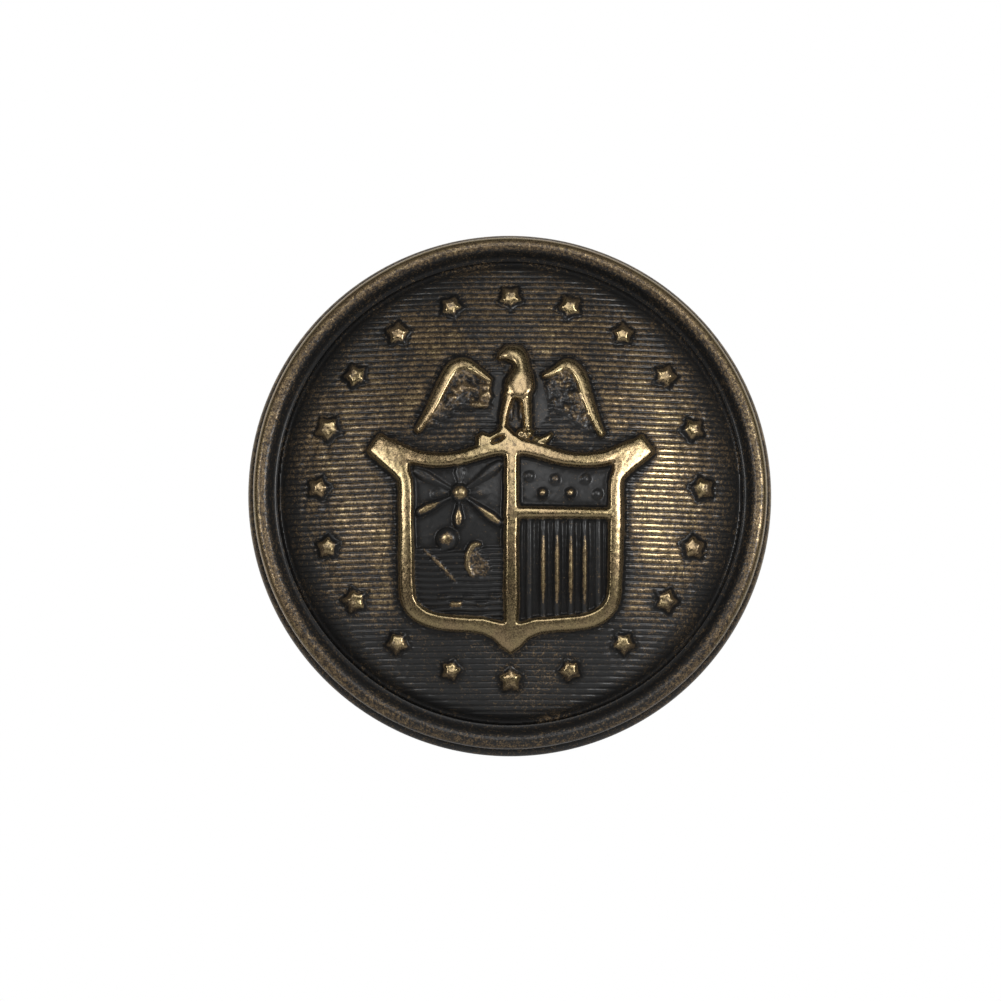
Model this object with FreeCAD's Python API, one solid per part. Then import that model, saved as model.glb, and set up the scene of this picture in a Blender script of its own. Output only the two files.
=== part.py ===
import FreeCAD, Part
import math
import os

from FreeCAD import Vector

# A domed, rimmed uniform badge of two-piece construction that fastens through a cap with a screw
# post and disc nut.  Millimetres.  The badge stands as it is worn: +Z is up, the struck face looks
# along -Y, and the origin is on the post's axis in the plane that lies against the cap.  Profiles
# are drawn in (radius, y) and turned about the Y axis.

# ---- driving dimensions -------------------------------------------------------------------------
BADGE_R = 12.7            # outside radius over the crimped edge: a one-inch badge
SHEET = 0.35              # brass sheet of the front shell

FOLD_R = 0.6              # crimped edge, outside bend radius
LIP_INNER_R = 11.45       # where the crimped lip ends on the back
NECK_R = 12.2             # groove between the crimped edge and the rim bead

RIM_CREST_R = 12.0        # rim bead
RIM_CREST_Y = -2.4
RIM_OUTER_ARC = 0.42
RIM_INNER_ARC = 0.4
RIM_FLANK_DEG = 62.0
RIM_SIDE = 0.35           # straight side of the bead above the neck

CHANNEL_Y = -1.78         # bottom of the channel between the rim and the dome
CHANNEL_R = 11.25
CHANNEL_RIM_ARC = 0.3
CHANNEL_DOME_ARC = 0.35

DOME_ARC = 21.5           # crown of the dome
DOME_EDGE_ARC = 2.2       # tighter shoulder where the dome turns down into the channel
DOME_EDGE_DEG = 60.0      # slope where the shoulder meets the channel

PLATE_BACK_Y = -0.35      # closing plate at the back
PLATE_T = 0.5
RIB_R = 8.6               # pressed stiffening rib of the closing plate
RIB_ARC = 0.7
RIB_RISE = 0.25

FILLER_T = 0.3            # steel filler under the dome
FILLER_GAP = 0.06
FILLER_DOME_R = 9.3
FILLER_EDGE_R = 11.6
PACKING_OUTER_R = 9.0     # card ring that keeps the filler pressed up
PACKING_INNER_R = 3.5
PACKING_T = 1.1

POST_R = 1.5              # screw post, M3
POST_NECK_R = 1.75        # thicker neck through the back plate, up to the seating plane
POST_HEAD_R = 3.2
POST_HEAD_T = 0.5
POST_CHAMFER = 0.3
THREAD_START_Y = 1.2      # plain shank up to here
THREAD_PITCH = 0.5
THREAD_DEPTH = 0.27
THREAD_GROOVES = 15
POST_END_Y = THREAD_START_Y + THREAD_GROOVES * THREAD_PITCH + POST_CHAMFER
SOLDER_RISE = 0.3
SOLDER_SPREAD = 0.6

SPUR_X = 6.5              # two spurs that stop the badge turning
SPUR_R = 0.45
SPUR_NECK_R = 0.75
SPUR_HEAD_R = 1.1
SPUR_HEAD_T = 0.3
SPUR_SHOULDER_Y = 2.6
SPUR_TIP_Y = 3.8
SPUR_TIP_R = 0.05
SPUR_SOLDER_SPREAD = 0.35

CLAMP_R = 8.0             # loose clamping plate behind the cap cloth
CLAMP_Y = 3.0
CLAMP_T = 0.5
CLAMP_LIP_R = 0.3
CLAMP_BORE_R = 1.7
CLAMP_SPUR_HOLE_R = 0.7

NUT_GAP = 0.05            # disc nut
NUT_R = 5.2               # small enough to run between the spurs
NUT_T = 1.6
NUT_KNURLS = 46
NUT_KNURL_DEPTH = 0.22
NUT_EDGE = 0.25
NUT_HUB_R = 3.1
NUT_HUB_T = 2.4
NUT_RECESS_R = 4.5
NUT_RECESS_DEPTH = 0.35
BUSH_R = 2.2
BUSH_BORE_R = 1.56
BUSH_FLANGE_R = 2.7
BUSH_FLANGE_T = 0.3

# relief heights above the dome
FRAME_H = 0.42
FIELD_H = 0.16
STAR_H = 0.38
BODY_H = 0.5
FEATHER_H = 0.18
BITE = 0.12               # how far a relief piece is let into the sheet before it is joined
RELIEF_REACH = 9.0        # longer than the dome is high, so a drawn outline reaches through it

STAR_COUNT = 20
STAR_RING_R = 9.22
STAR_TIP_R = 0.68
STAR_VALLEY_R = 0.46
EMBLEM_X = 0.07           # upright axis of the emblem as it is drawn
EMBLEM_SIZE = 0.983       # the drawn emblem is struck at this size
EMBLEM_Z = -0.45          # and this much lower
SUN_RAYS = 8
SUN_RAY_START = 0.6
SUN_RAY_END = 1.5

FRONT = Vector(0, -1, 0)
AXIS = Vector(0, 1, 0)


# ---- helpers ------------------------------------------------------------------------------------
def solid_of(shape):
    """The one solid in shape, with its seams merged."""
    shape = shape.removeSplitter()
    if len(shape.Solids) != 1:
        raise ValueError("expected one solid, got %d" % len(shape.Solids))
    return shape.Solids[0]


def path(start, *steps):
    """Edges from start through steps: (x, y) is a line, ((mx, my), (x, y)) an arc by its middle."""
    edges = []
    here = start
    for step in steps:
        if isinstance(step[0], tuple):
            middle, end = step
            edges.append(Part.Arc(Vector(*here), Vector(*middle), Vector(*end)).toShape())
        else:
            end = step
            edges.append(Part.LineSegment(Vector(*here), Vector(*end)).toShape())
        here = end
    return edges


def turned(start, *steps):
    """Closes a (radius, y) path and turns it about the Y axis into a solid."""
    edges = path((start[0], start[1], 0), *[deepen(step) for step in steps + (start,)])
    face = Part.Face(Part.Wire(edges))
    return face.revolve(Vector(0, 0, 0), AXIS, 360)


def deepen(step):
    if isinstance(step[0], tuple):
        return tuple((x, y, 0) for x, y in step)
    return (step[0], step[1], 0)


def swell(centre, radius, slope_deg):
    """Point on a convex arc, where the surface leans outward by slope_deg from facing the front."""
    a = math.radians(slope_deg)
    return (centre[0] + radius * math.sin(a), centre[1] - radius * math.cos(a))


def hollow(centre, radius, slope_deg):
    """The same on a concave arc, whose centre lies in front of the surface."""
    return swell(centre, -radius, slope_deg)


def cylinder(radius, y0, y1, x=0.0, z=0.0):
    return Part.makeCylinder(radius, y1 - y0, Vector(x, y0, z), AXIS)


# ---- dome geometry ------------------------------------------------------------------------------
class Dome:
    """The crown and shoulder arcs of the dome, and their offsets."""

    def __init__(self):
        shoulder = DOME_EDGE_ARC
        channel = CHANNEL_DOME_ARC
        edge = math.radians(DOME_EDGE_DEG)
        foot_r = CHANNEL_R - channel * math.sin(edge)
        foot_y = CHANNEL_Y - channel * (1 - math.cos(edge))
        self.shoulder_centre = (foot_r - shoulder * math.sin(edge), foot_y + shoulder * math.cos(edge))
        self.crown_deg = math.degrees(math.asin(self.shoulder_centre[0] / (DOME_ARC - shoulder)))
        drop = (DOME_ARC - shoulder) * math.cos(math.radians(self.crown_deg))
        self.crown_centre = (0.0, self.shoulder_centre[1] + drop)
        self.channel_centre = (CHANNEL_R, CHANNEL_Y - channel)

    def crown(self, offset, slope_deg):
        return swell(self.crown_centre, DOME_ARC + offset, slope_deg)

    def shoulder(self, offset, slope_deg):
        return swell(self.shoulder_centre, DOME_EDGE_ARC + offset, slope_deg)

    def steps(self, offset, last_deg):
        """Path steps from the apex out to slope last_deg on the shoulder."""
        join = self.crown_deg
        return [
            (self.crown(offset, join / 2), self.crown(offset, join)),
            (self.shoulder(offset, (join + last_deg) / 2), self.shoulder(offset, last_deg)),
        ]

    def layer(self, low, high, last_deg=52.0):
        """Solid between two offsets of the dome."""
        outward = self.steps(high, last_deg)
        join = self.crown_deg
        inward = [
            self.shoulder(low, last_deg),
            (self.shoulder(low, (join + last_deg) / 2), self.shoulder(low, join)),
            (self.crown(low, join / 2), self.crown(low, 0)),
        ]
        return turned(self.crown(high, 0), *outward, *inward)


DOME = Dome()


# ---- front shell --------------------------------------------------------------------------------
def shell_blank():
    """The struck sheet before its relief: dome, channel, rim bead, neck and crimped edge."""
    flank = RIM_FLANK_DEG
    edge = DOME_EDGE_DEG
    crest_out = (RIM_CREST_R, RIM_CREST_Y + RIM_OUTER_ARC)
    crest_in = (RIM_CREST_R, RIM_CREST_Y + RIM_INNER_ARC)
    valley_in = DOME.channel_centre
    valley_out = (CHANNEL_R, CHANNEL_Y - CHANNEL_RIM_ARC)
    fold = (BADGE_R - FOLD_R, -FOLD_R)
    rim_side_r = RIM_CREST_R + RIM_OUTER_ARC
    rim_side_y = crest_out[1] + RIM_SIDE
    neck_y = -2 * FOLD_R - 0.05

    outside = DOME.steps(0, edge) + [
        (hollow(valley_in, CHANNEL_DOME_ARC, edge / 2), (CHANNEL_R, CHANNEL_Y)),
        (hollow(valley_out, CHANNEL_RIM_ARC, -flank / 2), hollow(valley_out, CHANNEL_RIM_ARC, -flank)),
        swell(crest_in, RIM_INNER_ARC, -flank),
        (swell(crest_in, RIM_INNER_ARC, -flank / 2), (RIM_CREST_R, RIM_CREST_Y)),
        (swell(crest_out, RIM_OUTER_ARC, 45), (rim_side_r, crest_out[1])),
        (rim_side_r, rim_side_y),
        (NECK_R, neck_y),
        (swell(fold, FOLD_R, 60), (BADGE_R, fold[1])),
        (swell(fold, FOLD_R, 135), (fold[0], 0)),
        (LIP_INNER_R, 0),
    ]
    rim_in = RIM_INNER_ARC - SHEET
    rim_out = RIM_OUTER_ARC - SHEET
    out_valley = CHANNEL_RIM_ARC + SHEET
    in_valley = CHANNEL_DOME_ARC + SHEET
    crown = DOME.crown_deg
    inside = [
        (LIP_INNER_R, -SHEET),
        (fold[0], -SHEET),
        (swell(fold, FOLD_R - SHEET, 90), swell(fold, FOLD_R - SHEET, 0)),
        (NECK_R - SHEET, neck_y),
        (rim_side_r - SHEET, rim_side_y - RIM_SIDE / 4),
        (rim_side_r - SHEET, crest_out[1]),
        (swell(crest_out, rim_out, 45), (RIM_CREST_R, RIM_CREST_Y + SHEET)),
        (swell(crest_in, rim_in, -flank / 2), swell(crest_in, rim_in, -flank)),
        hollow(valley_out, out_valley, -flank),
        (hollow(valley_out, out_valley, -flank / 2), (CHANNEL_R, CHANNEL_Y + SHEET)),
        (hollow(valley_in, in_valley, edge / 2), DOME.shoulder(-SHEET, edge)),
        (DOME.shoulder(-SHEET, (edge + crown) / 2), DOME.shoulder(-SHEET, crown)),
        (DOME.crown(-SHEET, crown / 2), DOME.crown(-SHEET, 0)),
    ]
    return turned(DOME.crown(0, 0), *outside, *inside)


# ---- relief outlines, drawn as seen from the front in (x, z) ------------------------------------
def outline(start, *steps):
    """Flat face in the XZ plane from a closed path of lines and arcs."""
    def lift(step):
        if isinstance(step[0], tuple):
            return tuple((x, 0, z) for x, z in step)
        return (step[0], 0, step[1])

    edges = path((start[0], 0, start[1]), *[lift(step) for step in steps + (start,)])
    return Part.Face(Part.Wire(edges))


def bar(start, end, width_start, width_end=None):
    """Straight bar between two points, tapering if two widths are given."""
    width_end = width_start if width_end is None else width_end
    dx, dz = end[0] - start[0], end[1] - start[1]
    length = math.hypot(dx, dz)
    nx, nz = -dz / length, dx / length
    a, b = width_start / 2, width_end / 2
    return outline(
        (start[0] + nx * a, start[1] + nz * a),
        (end[0] + nx * b, end[1] + nz * b),
        (end[0] - nx * b, end[1] - nz * b),
        (start[0] - nx * a, start[1] - nz * a),
    )


def disc(x, z, radius):
    circle = Part.makeCircle(radius, Vector(x, 0, z), AXIS)
    return Part.Face(Part.Wire(circle))


def mirrored(face):
    return face.mirror(Vector(EMBLEM_X, 0, 0), Vector(1, 0, 0))


def placed(faces):
    """Emblem outlines moved from where they are drawn to where they are struck."""
    for face in faces:
        face.translate(Vector(-EMBLEM_X, 0, 0))
        face.scale(EMBLEM_SIZE)
        face.translate(Vector(0, 0, EMBLEM_Z))
    return faces


def star(angle):
    """Fat five-pointed star on the ring, one point towards the centre."""
    cx = STAR_RING_R * math.cos(angle)
    cz = STAR_RING_R * math.sin(angle)
    points = []
    for k in range(10):
        r = STAR_TIP_R if k % 2 == 0 else STAR_VALLEY_R
        a = angle + math.pi + k * math.pi / 5
        points.append((cx + r * math.cos(a), cz + r * math.sin(a)))
    return outline(points[0], *points[1:])


def shield_half_outer():
    x = EMBLEM_X
    return outline(
        (x, 2.75),
        ((x + 3.15, 1.93), (x + 6.15, 3.12)),
        ((x + 6.7, 2.98), (x + 6.95, 2.45)),
        (x + 5.75, 1.45),
        ((x + 5.5, 1.2), (x + 5.42, 0.85)),
        (x + 5.42, -4.2),
        ((x + 4.85, -5.5), (x + 3.4, -6.35)),
        (x + 1.6, -6.63),
        ((x + 0.72, -7.05), (x, -7.7)),
    )


def shield_half_inner():
    x = EMBLEM_X
    return outline(
        (x + 0.34, 1.95),
        ((x + 2.9, 1.36), (x + 5.05, 1.7)),
        (x + 4.8, 1.15),
        (x + 4.8, -4.1),
        ((x + 4.25, -5.15), (x + 3.2, -5.66)),
        (x + 1.5, -5.84),
        (x + 0.38, -6.16),
    )


def shield_outline():
    half = shield_half_outer()
    return half.fuse(mirrored(half)).removeSplitter()


def shield_frame():
    inner = shield_half_inner()
    frame = shield_outline().cut(inner).cut(mirrored(inner))
    fess = bar((0.3, -0.83), (5.0, -0.83), 0.42)
    return frame.fuse(fess.common(inner)).removeSplitter()


def field_charges():
    """Low relief inside the shield: pellets and pales at the right, a sun over ground at the left."""
    inner = shield_half_inner()
    faces = [disc(0.95 + 1.34 * k, 0.87, 0.2) for k in range(3)]
    faces += [disc(1.6 + 1.34 * k, 0.12, 0.2) for k in range(3)]
    faces += [bar((0.95 + 0.67 * k, -1.35), (0.95 + 0.67 * k, -6.2), 0.26).common(inner) for k in range(6)]
    sun = (-2.45, 0.08)
    faces.append(disc(sun[0], sun[1], 0.42))
    for k in range(SUN_RAYS):
        a = 2 * math.pi * (k + 0.5) / SUN_RAYS
        near = (sun[0] + SUN_RAY_START * math.cos(a), sun[1] + SUN_RAY_START * math.sin(a))
        far = (sun[0] + SUN_RAY_END * math.cos(a), sun[1] + SUN_RAY_END * math.sin(a))
        faces.append(bar(near, far, 0.12, 0.34))
    faces.append(disc(-3.0, -2.3, 0.5))
    faces.append(bar((-4.2, -2.6), (-2.65, -4.1), 0.2))
    faces.append(outline(
        (-1.35, -2.5), ((-1.85, -2.55), (-2.1, -3.2)), ((-1.95, -3.75), (-1.4, -3.95)),
        (-1.2, -3.7), ((-1.7, -3.4), (-1.3, -2.8)),
    ))
    for k in range(4):
        faces.append(bar((-4.4 + 0.35 * k, -4.4 - 0.36 * k), (-0.6, -4.4 - 0.36 * k), 0.16))
    return faces


def wing(tip, shoulder_out, crown, shoulder_in):
    """Leading edge of one wing, from its tip over the crown to the root."""
    return outline(
        (tip[0], tip[1]),
        ((shoulder_out[0], shoulder_out[1]), (crown[0] - 0.45, crown[1] - 0.12)),
        ((crown[0], crown[1] + 0.05), (crown[0] + 0.45, crown[1] - 0.2)),
        (shoulder_in[0], shoulder_in[1]),
        (shoulder_in[0] - 0.28, shoulder_in[1] - 0.12),
        ((crown[0] + 0.05, crown[1] - 0.36), (crown[0] - 0.3, crown[1] - 0.5)),
        (tip[0] + 0.32, tip[1] - 0.05),
    )


def bird():
    """Bird with hanging wings on the shield: (high faces, feather faces)."""
    head = outline(
        (-0.5, 7.0), ((-0.28, 7.32), (0.12, 7.46)), ((0.6, 7.2), (0.88, 6.3)),
        ((1.14, 5.6), (1.0, 5.15)), ((0.5, 4.9), (-0.1, 5.15)), ((-0.1, 5.75), (0.3, 6.15)),
        (0.38, 6.45), ((0.12, 6.66), (-0.42, 6.88)),
    )
    legs = [bar((-0.02, 5.15), (-0.32, 3.2), 0.34, 0.26), bar((0.76, 5.15), (0.86, 3.2), 0.34, 0.26)]
    left = wing((-4.5, 3.38), (-3.35, 5.6), (-2.3, 6.68), (-1.35, 6.0))
    right = wing((-4.36, 3.26), (-3.38, 5.3), (-2.55, 6.66), (-1.75, 6.1))
    right = right.mirror(Vector(0.0, 0, 0), Vector(1, 0, 0))
    feathers = [
        outline((-4.2, 3.4), (-2.5, 6.35), (-1.5, 5.95), (-0.95, 5.7), (-0.95, 4.1),
                ((-1.6, 4.5), (-2.4, 4.45)), (-3.2, 3.85)),
        outline((4.15, 3.3), (2.75, 6.3), (1.9, 5.95), (1.35, 5.7), (1.35, 4.1),
                ((2.0, 4.35), (2.6, 4.1)), (3.3, 3.6)),
    ]
    return [head] + legs + [left, right], feathers


def perch():
    return outline(
        (-1.5, 2.35), (-1.5, 3.0), ((-0.5, 3.25), (0.35, 3.15)), (1.05, 3.05), (1.3, 2.72),
        (1.7, 2.95), (2.0, 2.85), (1.75, 2.35), ((0.9, 2.3), (0.06, 2.4)),
    )


def raised(faces, height):
    """Relief of one height: upright prisms trimmed to a layer that follows the dome."""
    layer = DOME.layer(-BITE, height)
    prisms = [face.extrude(FRONT * RELIEF_REACH) for face in faces]
    if len(prisms) > 1:
        return prisms[0].fuse(prisms[1:]).common(layer).Solids
    return prisms[0].common(layer).Solids


def front_shell():
    high, feathers = bird()
    relief = []
    relief += raised([star(math.pi / 2 + 2 * math.pi * k / STAR_COUNT) for k in range(STAR_COUNT)], STAR_H)
    relief += raised(placed(field_charges()), FIELD_H)
    relief += raised(placed(feathers), FEATHER_H)
    relief += raised(placed([shield_frame(), perch()]), FRAME_H)
    relief += raised(placed(high), BODY_H)
    return solid_of(shell_blank().fuse(relief))


# ---- inside and back ----------------------------------------------------------------------------
def dome_filler():
    """Pressed steel filler: a shallow dome under the crown with a flat flange on the back plate."""
    high = -SHEET - FILLER_GAP
    low = high - FILLER_T
    edge_deg = math.degrees(math.asin(FILLER_DOME_R / (DOME_ARC + high)))
    flange_y = PLATE_BACK_Y - PLATE_T
    return turned(
        DOME.crown(high, 0),
        (DOME.crown(high, edge_deg / 2), DOME.crown(high, edge_deg)),
        (FILLER_DOME_R + 0.6, flange_y - FILLER_T),
        (FILLER_EDGE_R, flange_y - FILLER_T),
        (FILLER_EDGE_R, flange_y),
        (FILLER_DOME_R + 0.4, flange_y),
        DOME.crown(low, edge_deg - 1),
        (DOME.crown(low, edge_deg / 2), DOME.crown(low, 0)),
    )


def packing_ring():
    front = PLATE_BACK_Y - PLATE_T
    ring = cylinder(PACKING_OUTER_R, front - PACKING_T, front)
    ring = ring.cut(cylinder(PACKING_INNER_R, front - PACKING_T, front))
    for x in (-SPUR_X, SPUR_X):
        ring = ring.cut(cylinder(SPUR_HEAD_R + 0.1, front - PACKING_T, front, x))
    return solid_of(ring)


def back_plate():
    """Closing disc, held by the crimped edge, with a pressed rib and holes for post and spurs."""
    back = PLATE_BACK_Y
    front = back - PLATE_T
    round_r = FOLD_R - SHEET
    edge = BADGE_R - FOLD_R
    plate = turned(
        (0, front), (RIB_R - RIB_ARC, front), ((RIB_R, front + RIB_RISE * 0.8), (RIB_R + RIB_ARC, front)),
        (edge, front), ((edge + round_r, front + PLATE_T / 2), (edge, back)),
        (RIB_R + RIB_ARC, back), ((RIB_R, back + RIB_RISE), (RIB_R - RIB_ARC, back)), (0, back),
    )
    plate = plate.cut(cylinder(POST_NECK_R, front - 1, back + 1))
    for x in (-SPUR_X, SPUR_X):
        plate = plate.cut(cylinder(SPUR_NECK_R, front - 1, back + 1, x))
    return solid_of(plate)


def screw_post():
    """Headed stud through the back plate; the thread is sharp-crested grooves round the stud."""
    front = PLATE_BACK_Y - PLATE_T
    steps = [
        (POST_HEAD_R, front - POST_HEAD_T), (POST_HEAD_R, front), (POST_NECK_R, front),
        (POST_NECK_R, 0), (POST_R, 0), (POST_R, THREAD_START_Y),
    ]
    for k in range(THREAD_GROOVES):
        y = THREAD_START_Y + k * THREAD_PITCH
        steps += [(POST_R - THREAD_DEPTH, y + THREAD_PITCH / 2), (POST_R, y + THREAD_PITCH)]
    steps += [(POST_R - POST_CHAMFER, POST_END_Y), (0, POST_END_Y)]
    return turned((0, front - POST_HEAD_T), *steps)


def solder_fillet(radius, spread, x):
    """Concave ring of solder round a stud where it leaves the back plate."""
    y = PLATE_BACK_Y
    ring = turned((radius, y), (radius, y + SOLDER_RISE),
                  ((radius + spread * 0.35, y + SOLDER_RISE * 0.35), (radius + spread, y)))
    ring.translate(Vector(x, 0, 0))
    return ring


def spur_pin(x):
    front = PLATE_BACK_Y - PLATE_T
    pin = turned(
        (0, front - SPUR_HEAD_T), (SPUR_HEAD_R, front - SPUR_HEAD_T), (SPUR_HEAD_R, front),
        (SPUR_NECK_R, front), (SPUR_NECK_R, 0), (SPUR_R, 0),
        (SPUR_R, SPUR_SHOULDER_Y), (SPUR_TIP_R, SPUR_TIP_Y), (0, SPUR_TIP_Y),
    )
    pin.translate(Vector(x, 0, 0))
    return pin


# ---- loose fastening ----------------------------------------------------------------------------
def clamp_plate():
    """Loose disc that grips the cap cloth from behind; its two holes slide over the spurs."""
    y = CLAMP_Y
    t = CLAMP_T
    plate = turned(
        (CLAMP_BORE_R, y), (CLAMP_R - CLAMP_LIP_R, y),
        ((CLAMP_R - CLAMP_LIP_R * 0.29, y + CLAMP_LIP_R * 0.29), (CLAMP_R, y + CLAMP_LIP_R)),
        (CLAMP_R, y + t), (CLAMP_BORE_R, y + t),
    )
    for x in (-SPUR_X, SPUR_X):
        plate = plate.cut(cylinder(CLAMP_SPUR_HOLE_R, y - 1, y + t + 1, x))
    return solid_of(plate)


def knurled_blank(y0, y1):
    points = []
    for k in range(NUT_KNURLS):
        for share, r in ((0.0, NUT_R - NUT_KNURL_DEPTH), (0.5, NUT_R)):
            a = 2 * math.pi * (k + share) / NUT_KNURLS
            points.append((r * math.cos(a), r * math.sin(a)))
    face = outline(points[0], *points[1:])
    face.translate(Vector(0, y0, 0))
    return face.extrude(AXIS * (y1 - y0))


def nut_disc():
    """Knurled disc with a raised hub and a shallow recess round it, bored for its bush."""
    y = CLAMP_Y + CLAMP_T + NUT_GAP
    blank = knurled_blank(y, y + NUT_T)
    envelope = turned(
        (0, y), (NUT_R - NUT_EDGE, y), (NUT_R, y + NUT_EDGE), (NUT_R, y + NUT_T - NUT_EDGE),
        (NUT_R - NUT_EDGE, y + NUT_T), (NUT_RECESS_R, y + NUT_T),
        (NUT_RECESS_R - 0.3, y + NUT_T - NUT_RECESS_DEPTH), (NUT_HUB_R + 0.25, y + NUT_T - NUT_RECESS_DEPTH),
        (NUT_HUB_R, y + NUT_HUB_T - 0.25), (NUT_HUB_R - 0.25, y + NUT_HUB_T), (0, y + NUT_HUB_T),
    )
    hub = cylinder(NUT_HUB_R + 0.3, y + NUT_T - 0.1, y + NUT_HUB_T)
    disc_body = blank.fuse(hub).common(envelope)
    bore = cylinder(BUSH_R, y, y + NUT_HUB_T)
    seat = cylinder(BUSH_FLANGE_R, y, y + BUSH_FLANGE_T)
    return solid_of(disc_body.cut(bore).cut(seat))


def nut_bush():
    """Threaded bush staked into the disc."""
    y = CLAMP_Y + CLAMP_T + NUT_GAP
    end = y + NUT_HUB_T + 0.15
    return turned(
        (BUSH_BORE_R, y), (BUSH_FLANGE_R, y), (BUSH_FLANGE_R, y + BUSH_FLANGE_T),
        (BUSH_R, y + BUSH_FLANGE_T), (BUSH_R, end - 0.15), (BUSH_R - 0.15, end), (BUSH_BORE_R, end),
    )


# ---- parts --------------------------------------------------------------------------------------
PARTS = {
    "front_shell": front_shell,
    "dome_filler": dome_filler,
    "packing_ring": packing_ring,
    "back_plate": back_plate,
    "screw_post": screw_post,
    "post_solder": lambda: solder_fillet(POST_NECK_R, SOLDER_SPREAD, 0.0),
    "spur_pin_left": lambda: spur_pin(-SPUR_X),
    "spur_pin_right": lambda: spur_pin(SPUR_X),
    "spur_solder": lambda: Part.makeCompound(
        [solder_fillet(SPUR_NECK_R, SPUR_SOLDER_SPREAD, x) for x in (-SPUR_X, SPUR_X)]),
    "clamp_plate": clamp_plate,
    "nut_disc": nut_disc,
    "nut_bush": nut_bush,
}


def main():
    os.makedirs("parts", exist_ok=True)
    for name, make in PARTS.items():
        shape = make()
        box = shape.BoundBox
        print("%-16s valid %s solids %d volume %9.3f  x %.2f %.2f  y %.2f %.2f  z %.2f %.2f" % (
            name, shape.isValid(), len(shape.Solids), shape.Volume,
            box.XMin, box.XMax, box.YMin, box.YMax, box.ZMin, box.ZMax))
        shape.exportStep("parts/%s.step" % name)


main()
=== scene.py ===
import math

import bpy
import numpy as np
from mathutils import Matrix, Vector


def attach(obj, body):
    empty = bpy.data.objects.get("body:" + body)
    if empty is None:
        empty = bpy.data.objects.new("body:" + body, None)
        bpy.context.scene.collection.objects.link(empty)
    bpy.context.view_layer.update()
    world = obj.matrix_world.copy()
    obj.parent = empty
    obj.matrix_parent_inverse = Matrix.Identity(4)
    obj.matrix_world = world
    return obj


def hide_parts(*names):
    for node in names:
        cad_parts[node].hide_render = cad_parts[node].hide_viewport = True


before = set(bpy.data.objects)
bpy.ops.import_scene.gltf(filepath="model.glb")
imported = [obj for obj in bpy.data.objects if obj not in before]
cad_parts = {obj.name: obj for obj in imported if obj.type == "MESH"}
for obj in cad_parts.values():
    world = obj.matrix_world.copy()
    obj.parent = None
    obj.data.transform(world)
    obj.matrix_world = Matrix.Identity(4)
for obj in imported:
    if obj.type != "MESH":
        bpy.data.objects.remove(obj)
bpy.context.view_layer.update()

MM = 0.001
SHEET = 0.35
DOME_ARC, EDGE_ARC, EDGE_DEG = 21.5, 2.2, 60.0
CHANNEL_R, CHANNEL_Y, CHANNEL_DOME_ARC, CHANNEL_RIM_ARC = 11.25, -1.78, 0.35, 0.3
RIM_R, RIM_Y, RIM_OUT, RIM_IN, RIM_FLANK, RIM_SIDE = 12.0, -2.4, 0.42, 0.4, 62.0, 0.35
NECK_R, FOLD_R, BADGE_R, LIP_R = 12.2, 0.6, 12.7, 11.45
RULE_PITCH, RULE_DEPTH = 0.2805, 0.06
# the emblem is drawn about its own upright axis, then set at this size and height on the dome
AXIS_X, EMBLEM_SIZE, EMBLEM_Z = 0.07, 0.983, -0.45
CURVE_STEPS = 6
STAR_COUNT, STAR_RING_R, STAR_TIP_R, STAR_NOTCH_R = 20, 9.22, 0.66, 0.44
rng = np.random.default_rng(7)


# ---- the dome's section -------------------------------------------------------------------------
edge = math.radians(EDGE_DEG)
foot_r = CHANNEL_R - CHANNEL_DOME_ARC * math.sin(edge)
foot_y = CHANNEL_Y - CHANNEL_DOME_ARC * (1 - math.cos(edge))
SHOULDER = (foot_r - EDGE_ARC * math.sin(edge), foot_y + EDGE_ARC * math.cos(edge))
CROWN_SIN = SHOULDER[0] / (DOME_ARC - EDGE_ARC)
CROWN_Y = SHOULDER[1] + (DOME_ARC - EDGE_ARC) * math.sqrt(1 - CROWN_SIN ** 2)


def dome_y(r, h):
    """Depth of the dome's surface at radius r when it is raised by h, both in mm."""
    crown = CROWN_Y - np.sqrt((DOME_ARC + h) ** 2 - r ** 2)
    shoulder = SHOULDER[1] - np.sqrt(np.maximum((EDGE_ARC + h) ** 2 - (r - SHOULDER[0]) ** 2, 0))
    rise = np.sqrt(np.maximum(CHANNEL_DOME_ARC ** 2 - (r - CHANNEL_R) ** 2, 0))
    valley = CHANNEL_Y - CHANNEL_DOME_ARC + rise
    y = np.where(r < (DOME_ARC + h) * CROWN_SIN, crown, shoulder)
    return np.where(r > foot_r, valley, y)


# ---- height map of the struck face --------------------------------------------------------------
DX, DZ = 0.05, RULE_PITCH / 6
GRID_R = 11.19
NX, NZ = int(GRID_R / DX) + 1, int(GRID_R / DZ) + 1
xs, zs = np.arange(-NX, NX + 1) * DX, np.arange(-NZ, NZ + 1) * DZ
X, Z = np.meshgrid(xs, zs)
R = np.hypot(X, Z)
U, V = X / EMBLEM_SIZE + AXIS_X, (Z - EMBLEM_Z) / EMBLEM_SIZE


def smooth(t):
    t = np.clip(t, 0, 1)
    return t * t * (3 - 2 * t)


def shifted(a, n, axis):
    """a moved n cells along an axis, with its edge repeated."""
    if n == 0:
        return a
    pad = [(0, 0), (0, 0)]
    pad[axis] = (max(n, 0), max(-n, 0))
    big = np.pad(a, pad, mode="edge")
    cut = [slice(None), slice(None)]
    cut[axis] = slice(0, a.shape[axis]) if n > 0 else slice(-n, -n + a.shape[axis])
    return big[tuple(cut)]


def blur(a, sigma):
    for axis, step in ((0, DZ), (1, DX)):
        reach = int(3 * sigma / step) + 1
        weights = np.exp(-0.5 * (np.arange(-reach, reach + 1) * step / sigma) ** 2)
        weights /= weights.sum()
        a = sum(w * shifted(a, n - reach, axis) for n, w in enumerate(weights))
    return a


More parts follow.
